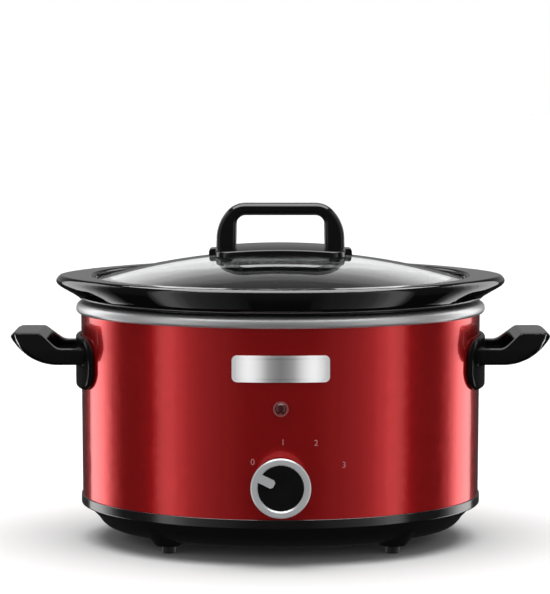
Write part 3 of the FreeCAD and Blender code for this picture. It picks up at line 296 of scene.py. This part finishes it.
def dial_print():
    """Pale red print on the enamel, slightly worn."""
    s = Shader("dial_print")
    s.colour(s.blended(s.noise(1400.0), (0.34, 0.10, 0.10), (0.46, 0.18, 0.18)))
    s.rough(s.noise(800.0), 0.4, 0.5)
    s.bump(s.noise(2000.0), FAINT_GRAIN, 0.2)
    return s.material


MATERIALS = {
    "red_enamel": red_enamel(),
    "liner_aluminium": liner_aluminium(),
    "black_glaze": black_glaze(),
    "lid_glass": lid_glass(),
    "base_plastic": moulded("base_plastic", BLACK, SOFT_BLACK, 0.16, 0.22, strength=0.08, Coat_Weight=1.0,
                            Specular_IOR_Level=0.8),
    "handle_plastic": handle_plastic(),
    "badge_silver": badge_silver(),
    "knob_silver": spun_silver(),
    "knob_black": moulded("knob_black", BLACK, SOFT_BLACK, 0.20, 0.28, strength=0.12),
    "lens_clear": lens_red("lens_clear", (0.060, 0.006, 0.005), (0.085, 0.011, 0.009),
                           Transmission_Weight=0.3),
    "neon_glass": moulded("neon_glass", (0.85, 0.55, 0.40), (0.95, 0.70, 0.55), 0.05, 0.10,
                          Transmission_Weight=0.8),
    "steel_hardware": small_metal("steel_hardware", (0.45, 0.45, 0.44), (0.62, 0.62, 0.60), 0.28, 0.42),
    "brass_contacts": small_metal("brass_contacts", (0.62, 0.42, 0.14), (0.78, 0.57, 0.24), 0.25, 0.38),
    "switch_plastic": moulded("switch_plastic", (0.02, 0.02, 0.02), (0.035, 0.035, 0.035), 0.4, 0.55),
    "terminal_plastic": moulded("terminal_plastic", (0.62, 0.60, 0.52), (0.72, 0.70, 0.62), 0.35, 0.5),
    "belt_insulation": moulded("belt_insulation", (0.50, 0.48, 0.42), (0.68, 0.66, 0.58), 0.7, 0.9,
                               grain=900.0, depth=0.0003, strength=0.8),
    "fuse_sleeve": moulded("fuse_sleeve", (0.68, 0.66, 0.60), (0.80, 0.78, 0.72), 0.6, 0.8),
    "foot_rubber": moulded("foot_rubber", (0.005, 0.005, 0.005), (0.010, 0.010, 0.010), 0.45, 0.6),
    "gland_rubber": moulded("gland_rubber", (0.009, 0.009, 0.009), (0.018, 0.018, 0.018), 0.35, 0.5),
    "seal_silicone": moulded("seal_silicone", (0.02, 0.02, 0.02), (0.035, 0.035, 0.035), 0.4, 0.5),
    "wire_brown": moulded("wire_brown", (0.10, 0.035, 0.015), (0.14, 0.05, 0.02), 0.35, 0.5),
    "wire_blue": moulded("wire_blue", (0.01, 0.06, 0.30), (0.015, 0.08, 0.38), 0.35, 0.5),
    "wire_white": moulded("wire_white", (0.66, 0.66, 0.64), (0.78, 0.78, 0.76), 0.35, 0.5),
}
DIAL_PRINT = dial_print()
BEZEL_RED = lens_red("bezel_red", (0.16, 0.035, 0.035), (0.23, 0.055, 0.055))


def finish_cad_nodes():
    """Gives every CAD node the material of its slot, and the lamp's ring a red of its own."""
    for row in frame["record"]["subparts"]:
        node = frame["nodes"][row["node"]]
        node.data.materials.clear()
        node.data.materials.append(MATERIALS[row["material_slot"]])
    frame["nodes"]["lamp_bezel"].data.materials[0] = BEZEL_RED


# ---- pieces made here ---------------------------------------------------------------------------------
HANDLE_VOXEL, HANDLE_SOFTENING = 0.0008, 10  # together they round the edges


def moulded_handle(side):
    """The side handle with its edges rounded as the mould leaves them."""
    name = "handle_" + side
    handle = frame["nodes"][name].copy()
    handle.data = frame["nodes"][name].data.copy()
    handle.name = handle.data.name = name + "_moulded"
    bpy.context.scene.collection.objects.link(handle)
    remesh = handle.modifiers.new("remesh", "REMESH")
    remesh.mode = "VOXEL"
    remesh.voxel_size = HANDLE_VOXEL
    remesh.use_smooth_shade = True
    soften = handle.modifiers.new("soften", "SMOOTH")
    soften.factor = 0.5
    soften.iterations = HANDLE_SOFTENING
    handle.data.materials.clear()
    handle.data.materials.append(MATERIALS["handle_plastic"])
    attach(handle, "base")
    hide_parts(name)
    return handle


NUMERAL_H = 0.0042
FONT_PER_NUMERAL = 1.4  # the font's size against the height of its digits
NUMERAL_OUT = 0.00012  # how far the middle of the print stands out of the enamel
NUMERAL_HALF_T = 0.00004
DIAL_MARKS = (("0", -0.0190, 0.0724), ("1", 0.0015, 0.0860), ("2", 0.0238, 0.0853), ("3", 0.0428, 0.0698))


def wall_front(x):
    """(y, turn about Z) of the wall's front at x, taking the wall for an ellipse that fills its box."""
    low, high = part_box("outer_wall")
    a, b = high.x, -low.y
    y = -b * math.sqrt(1 - (x / a) ** 2)
    return y, math.atan2(x / a**2, -y / b**2)


def dial_numerals():
    """Numbers 0 to 3 for the knob's four positions."""
    for text, x, z in DIAL_MARKS:
        name = "dial_mark_" + text
        curve = bpy.data.curves.new(name, "FONT")
        curve.body = text
        curve.align_x, curve.align_y = "CENTER", "CENTER"
        curve.size = NUMERAL_H * FONT_PER_NUMERAL
        curve.extrude = NUMERAL_HALF_T
        maker = bpy.data.objects.new("numeral_maker", curve)
        bpy.context.scene.collection.objects.link(maker)
        bpy.context.view_layer.update()
        mesh = bpy.data.meshes.new_from_object(maker)
        bpy.data.objects.remove(maker)
        mesh.name = name
        mesh.materials.clear()
        mesh.materials.append(DIAL_PRINT)
        mark = bpy.data.objects.new(name, mesh)
        y, turn = wall_front(x)
        mark.location = (x, y - NUMERAL_OUT, z)
        mark.rotation_euler = (math.radians(90), 0, turn)
        bpy.context.scene.collection.objects.link(mark)
        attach(mark, "base")


# ---- light --------------------------------------------------------------------------------------------
FLOOR_HALF, FLOOR_GREY = 12.0, 0.36
FLOOR_SUN, FLOOR_SUN_DEG = 6.6, 70  # strength, and how wide the sun looks
POWER_PER_AREA = 4  # watts that a square metre of lamp takes to show in reflections with a strength of 1


def make_world():
    """White to the camera and even light for matt surfaces. Mirrors see a soft backdrop low down behind
    the cooker and a dark room elsewhere."""
    world = bpy.data.worlds.new("studio")
    world.use_nodes = True
    bpy.context.scene.world = world
    tree = world.node_tree
    tree.nodes.clear()
    link = tree.links.new

    def add(kind, **settings):
        node = tree.nodes.new(kind)
        for key, value in settings.items():
            setattr(node, key, value)
        return node

    def ranged(value, a, b, c, d):
        node = add("ShaderNodeMapRange", interpolation_type="SMOOTHSTEP")
        link(value, node.inputs["Value"])
        for i, number in enumerate((a, b, c, d), start=1):
            node.inputs[i].default_value = number
        return node.outputs[0]

    def times(first, second):
        node = add("ShaderNodeMath", operation="MULTIPLY")
        link(first, node.inputs[0])
        link(second, node.inputs[1])
        return node.outputs[0]

    direction = add("ShaderNodeSeparateXYZ")
    link(add("ShaderNodeTexCoord").outputs["Generated"], direction.inputs[0])
    z, y = direction.outputs["Z"], direction.outputs["Y"]
    low = times(ranged(z, -0.02, 0.03, 0.0, 0.24), ranged(z, 0.10, 0.60, 1.0, 0.0))
    behind = ranged(y, 0.0, 0.6, 0.0, 1.0)
    mirror = add("ShaderNodeMath", operation="MAXIMUM")
    link(times(low, behind), mirror.inputs[0])
    link(ranged(z, -0.35, -0.12, 0.015, 0.05), mirror.inputs[1])
    strength = add("ShaderNodeMix", data_type="FLOAT")
    link(add("ShaderNodeLightPath").outputs["Is Glossy Ray"], strength.inputs["Factor"])
    strength.inputs["A"].default_value = 1.0
    link(mirror.outputs[0], strength.inputs["B"])
    background = add("ShaderNodeBackground")
    background.inputs["Color"].default_value = rgba(1.0, 1.0, 1.0)
    link(strength.outputs["Result"], background.inputs["Strength"])
    link(background.outputs[0], add("ShaderNodeOutputWorld").inputs[0])


def fading(tree, place, stops):
    """Emission whose strength follows (place, strength) stops along a 0 to 1 coordinate."""
    peak = max(strength for _, strength in stops)
    ramp = tree.nodes.new("ShaderNodeValToRGB")
    ramp.color_ramp.interpolation = "EASE"
    for i, (at, strength) in enumerate(stops):
        stop = ramp.color_ramp.elements[i] if i < 2 else ramp.color_ramp.elements.new(at)
        stop.position = at
        stop.color = rgba(strength / peak, strength / peak, strength / peak)
    tree.links.new(place, ramp.inputs["Fac"])
    emission = tree.nodes.new("ShaderNodeEmission")
    emission.inputs["Strength"].default_value = peak
    tree.links.new(ramp.outputs["Color"], emission.inputs["Color"])
    return emission.outputs[0]


def softbox(name, start_deg, end_deg, side, stops, unlit, distance=3.0):
    """An upright panel that is seen only in reflections, and not in those of the unlit pieces. Its stops
    run from one edge to the other. Angles turn from +Y towards +X, and side mirrors them."""
    low, high = -2.2, 2.4
    edges = []
    for angle in (start_deg, end_deg):
        turn = math.radians(angle)
        edges.append((side * distance * math.sin(turn), distance * math.cos(turn)))
    mesh = bpy.data.meshes.new(name)
    corners = [(*edges[0], low), (*edges[1], low), (*edges[1], high), (*edges[0], high)]
    mesh.from_pydata(corners, [], [(0, 1, 2, 3)])
    layer = mesh.uv_layers.new(name="UVMap")
    for loop, place in enumerate(((0.0, 0.0), (1.0, 0.0), (1.0, 1.0), (0.0, 1.0))):
        layer.data[loop].uv = place
    material = bpy.data.materials.new(name)
    material.use_nodes = True
    tree = material.node_tree
    tree.nodes.clear()
    across = tree.nodes.new("ShaderNodeSeparateXYZ")
    tree.links.new(tree.nodes.new("ShaderNodeUVMap").outputs["UV"], across.inputs[0])
    output = tree.nodes.new("ShaderNodeOutputMaterial")
    tree.links.new(fading(tree, across.outputs["X"], stops), output.inputs[0])
    mesh.materials.append(material)
    board = bpy.data.objects.new(name, mesh)
    bpy.context.scene.collection.objects.link(board)
    board.visible_camera = False
    board.visible_diffuse = False
    board.visible_shadow = False
    board.visible_transmission = False
    link_light(board, unlit, "EXCLUDE")


def link_light(light, pieces, state):
    """Limits a light to some pieces (INCLUDE) or keeps it off them (EXCLUDE)."""
    group = bpy.data.collections.new(light.name + "_pieces")
    for i, piece in enumerate(pieces):
        group.objects.link(piece)
        group.collection_objects[i].light_linking.link_state = state
    light.light_linking.receiver_collection = group


def lid_backdrop():
    """Bright wall behind the cooker, fading upwards, that only the glass lid reflects."""
    distance, width, low, high = 3.0, 8.0, 0.62, 3.4
    middle, area = (low + high) / 2, width * (high - low)
    lamp = area_light("lid_backdrop", (0, distance, middle), (width, high - low), POWER_PER_AREA * area,
                      target=(0, 0, middle))
    lamp.data.use_nodes = True
    tree = lamp.data.node_tree
    tree.nodes.clear()
    up = tree.nodes.new("ShaderNodeSeparateXYZ")
    tree.links.new(tree.nodes.new("ShaderNodeNewGeometry").outputs["Parametric"], up.inputs[0])
    output = tree.nodes.new("ShaderNodeOutputLight")
    tree.links.new(fading(tree, up.outputs["Y"], LID_STOPS), output.inputs[0])
    link_light(lamp, [frame["nodes"]["lid_glass"]], "INCLUDE")


def make_floor():
    """Floor with a wide sun of its own straight overhead, so bright that only the cooker's shadow shows
    on it. It is kept out of reflections and of bounced light."""
    mesh = bpy.data.meshes.new("floor")
    half = FLOOR_HALF
    corners = [(-half, -half, 0), (half, -half, 0), (half, half, 0), (-half, half, 0)]
    mesh.from_pydata(corners, [], [(0, 1, 2, 3)])
    material = bpy.data.materials.new("floor")
    material.use_nodes = True
    tree = material.node_tree
    tree.nodes.clear()
    paper = tree.nodes.new("ShaderNodeBsdfDiffuse")
    paper.inputs["Color"].default_value = rgba(FLOOR_GREY, FLOOR_GREY, FLOOR_GREY)
    output = tree.nodes.new("ShaderNodeOutputMaterial")
    tree.links.new(paper.outputs[0], output.inputs[0])
    mesh.materials.append(material)
    floor = bpy.data.objects.new("floor", mesh)
    bpy.context.scene.collection.objects.link(floor)
    floor.visible_glossy = False
    floor.visible_diffuse = False
    sun = bpy.data.objects.new("floor_sun", bpy.data.lights.new("floor_sun", "SUN"))
    sun.data.energy = FLOOR_SUN
    sun.data.angle = math.radians(FLOOR_SUN_DEG)
    bpy.context.scene.collection.objects.link(sun)
    link_light(sun, [floor], "INCLUDE")


def area_light(name, location, size, power, target=(0, 0, 0.1)):
    """A rectangular lamp that faces its target and that the camera doesn't see."""
    data = bpy.data.lights.new(name, "AREA")
    data.shape = "RECTANGLE"
    data.size, data.size_y = size
    data.energy = power
    light = bpy.data.objects.new(name, data)
    light.location = location
    light.rotation_euler = (Vector(target) - Vector(location)).to_track_quat("-Z", "Y").to_euler()
    light.visible_camera = False
    bpy.context.scene.collection.objects.link(light)
    return light


def overhead_sheet(strength, unlit, size=3.4, height=2.6):
    """Bright ceiling for the reflections of every piece but the unlit ones."""
    power = POWER_PER_AREA * size**2 * strength
    sheet = area_light("overhead_sheet", (0, 0, height), (size, size), power, target=(0, 0, 0))
    sheet.visible_diffuse = False
    link_light(sheet, unlit, "EXCLUDE")


def edge_strip(name, turn_deg, depth, strength, pieces, distance=2.5):
    """A long lamp across the studio that only the reflections of some pieces hold. Its angle turns from
    the front horizon up over the cooker."""
    turn, width = math.radians(turn_deg), 3.5
    place = (0, -distance * math.cos(turn), AIM.z + distance * math.sin(turn))
    power = POWER_PER_AREA * width * depth * strength
    strip = area_light(name, place, (width, depth), power, target=AIM)
    strip.visible_diffuse = False
    link_light(strip, pieces, "INCLUDE")


def handle_strips(turn_deg, width, height, strength, pieces, distance=2.5):
    """Narrow upright lamps, left and right, that draw a thin line along the handles' rounded edges. Their
    angle turns from the back towards each side."""
    turn = math.radians(turn_deg)
    power = POWER_PER_AREA * width * height * strength
    for side in (-1, 1):
        place = (side * distance * math.sin(turn), distance * math.cos(turn), 0.0)
        strip = area_light("handle_line", place, (width, height), power)
        strip.visible_diffuse = False
        link_light(strip, pieces, "INCLUDE")


# Strengths across each light, as (place, strength) from its first edge to its last.
SIDE_STOPS = ((0.0, 1.1), (0.2, 1.7), (0.37, 1.85), (0.5, 1.8), (0.61, 1.3), (0.73, 0.75), (0.82, 0.32),
              (0.93, 0.14), (1.0, 0.08))
FRONT_STOPS = ((0.0, 0.06), (0.06, 0.25), (0.11, 0.62), (0.16, 0.80), (0.25, 0.80), (0.35, 0.50),
               (0.45, 0.28), (0.58, 0.18), (0.75, 0.12), (1.0, 0.05))
LID_STOPS = ((0.0, 0.55), (0.18, 0.92), (0.33, 1.02), (0.446, 0.92), (0.54, 0.62), (0.586, 0.52),
             (0.69, 0.28), (0.755, 0.18), (1.0, 0.14))

make_camera()
finish_cad_nodes()
side_handles = [moulded_handle(side_name) for side_name in ("left", "right")]
dial_numerals()
make_world()
make_floor()
for side in (-1, 1):
    softbox("side_panel", start_deg=47, end_deg=90, side=side, stops=SIDE_STOPS, unlit=side_handles)
    softbox("front_panel", start_deg=114, end_deg=166, side=side, stops=FRONT_STOPS, unlit=side_handles)
lid_backdrop()
overhead_sheet(strength=3.0, unlit=side_handles)
edge_strip("handle_strip", turn_deg=115, depth=0.3, strength=5.0, pieces=side_handles)
handle_strips(turn_deg=72, width=0.22, height=3.0, strength=5.0, pieces=side_handles)
bead = [frame["nodes"]["heater_liner"]]
edge_strip("bead_strip", turn_deg=48, depth=1.1, strength=1.0, pieces=bead)
top_light = area_light("top_light", location=(0, -0.3, 2.4), size=(2.4, 1.6), power=20)
top_light.visible_glossy = False
bpy.context.scene.view_settings.view_transform = "Standard"
